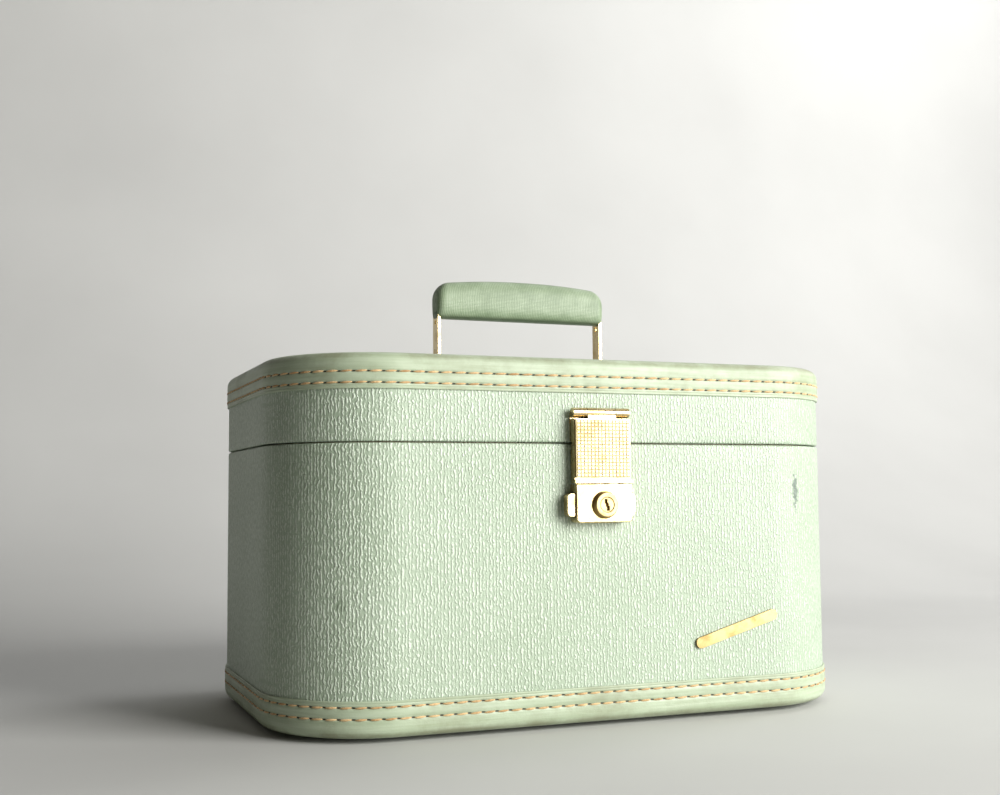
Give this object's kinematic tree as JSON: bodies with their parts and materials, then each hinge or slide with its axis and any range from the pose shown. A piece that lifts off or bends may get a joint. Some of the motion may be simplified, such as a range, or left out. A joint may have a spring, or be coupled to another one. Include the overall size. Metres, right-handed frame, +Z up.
{
  "type": "makeup train case",
  "caption": "Hard-sided round-cornered makeup train case with a hinged lid, stitched bindings, hasp lock, folding bail handle, lid mirror and lift-out tray.",
  "frame": {"origin": "centre of the bounding box at the surface that the feet stand on", "axes": "+Z up, +X along the case's length to the right as seen from the lock, the lock side faces -Y"},
  "size_m": [0.343, 0.2382, 0.256],
  "materials": {
    "vinyl_cover": "embossed crinkle grain, satin",
    "vinyl_binding": "leather grain, soft gloss",
    "board": "raw fibreboard",
    "lining": "satin weave",
    "thread": "waxed cotton",
    "elastic": "gathered",
    "brass": "lacquered, lightly worn",
    "steel": "nickel plated",
    "tray_plastic": "moulded, satin",
    "mirror": "silvered glass",
    "card": "grey card",
    "frame_plastic": "moulded",
    "grip_vinyl": "fine woven grain, satin"
  },
  "bodies": {
    "case": {"body_cover": "vinyl_cover", "body_shell": "board", "base_panel": "board", "body_lining": "lining", "rim_lip": "lining", "rim_lip_ends": "lining", "lower_binding": "vinyl_binding", "body_stitching": "thread", "feet": "steel", "tray_rests": "lining", "back_pocket": "elastic", "pocket_elastic": "elastic", "hinge_body_leaves": "brass", "hinge_pins": "steel", "hinge_body_rivets": "brass", "lock_plate": "steel", "lock_rivets": "steel", "lock_cover": "brass", "key_ring": "brass", "release_spring": "steel", "badge": "brass"},
    "lid": {"lid_cover": "vinyl_cover", "lid_shell": "board", "top_panel": "board", "lid_lining": "lining", "upper_binding": "vinyl_binding", "lid_stitching": "thread", "mirror_backing": "card", "mirror_glass": "mirror", "mirror_frame": "frame_plastic", "hinge_lid_leaves": "brass", "hinge_lid_rivets": "brass", "hasp_base": "brass", "hasp_rivets": "brass", "hasp_pin": "brass", "handle_brackets": "brass", "bracket_rivets": "brass", "handle_pivots": "brass"},
    "handle": {"handle_strap": "brass", "grip_core": "board", "grip_cover": "grip_vinyl"},
    "hasp": {"hasp_plate": "brass", "hasp_pad": "brass", "hasp_staple": "steel"},
    "slider": {"release_slider": "brass"},
    "key": {"key_plug": "brass", "lock_cam": "steel"},
    "tray": {"tray": "tray_plastic"}
  },
  "joints": [
    {"name": "lid_hinge", "type": "hinge", "parent": "case", "child": "lid", "pos_m": [0, 0.11445, 0.1505], "axis": [-1, 0, 0], "range_deg": [0, 100]},
    {"name": "handle_fold", "type": "hinge", "parent": "lid", "child": "handle", "pos_m": [0, 0.00185, 0.202], "axis": [1, 0, 0], "range_deg": [-78, 78]},
    {"name": "hasp_swing", "type": "hinge", "parent": "lid", "child": "hasp", "pos_m": [0, -0.11185, 0.1667], "axis": [-1, 0, 0], "range_deg": [0, 110]},
    {"name": "release_slide", "type": "slide", "parent": "case", "child": "slider", "axis": [1, 0, 0], "range_m": [0, 0.003], "stiffness_N_per_m": 300, "springref_m": -0.004, "deforming": ["release_spring"]},
    {"name": "key_turn", "type": "hinge", "parent": "case", "child": "key", "pos_m": [0, -0.11615, 0.1175], "axis": [0, 1, 0], "range_deg": [0, 90]},
    {"name": "tray_lift", "type": "slide", "parent": "case", "child": "tray", "axis": [0, 0, 1], "range_m": [0, 0.03]}
  ]
}
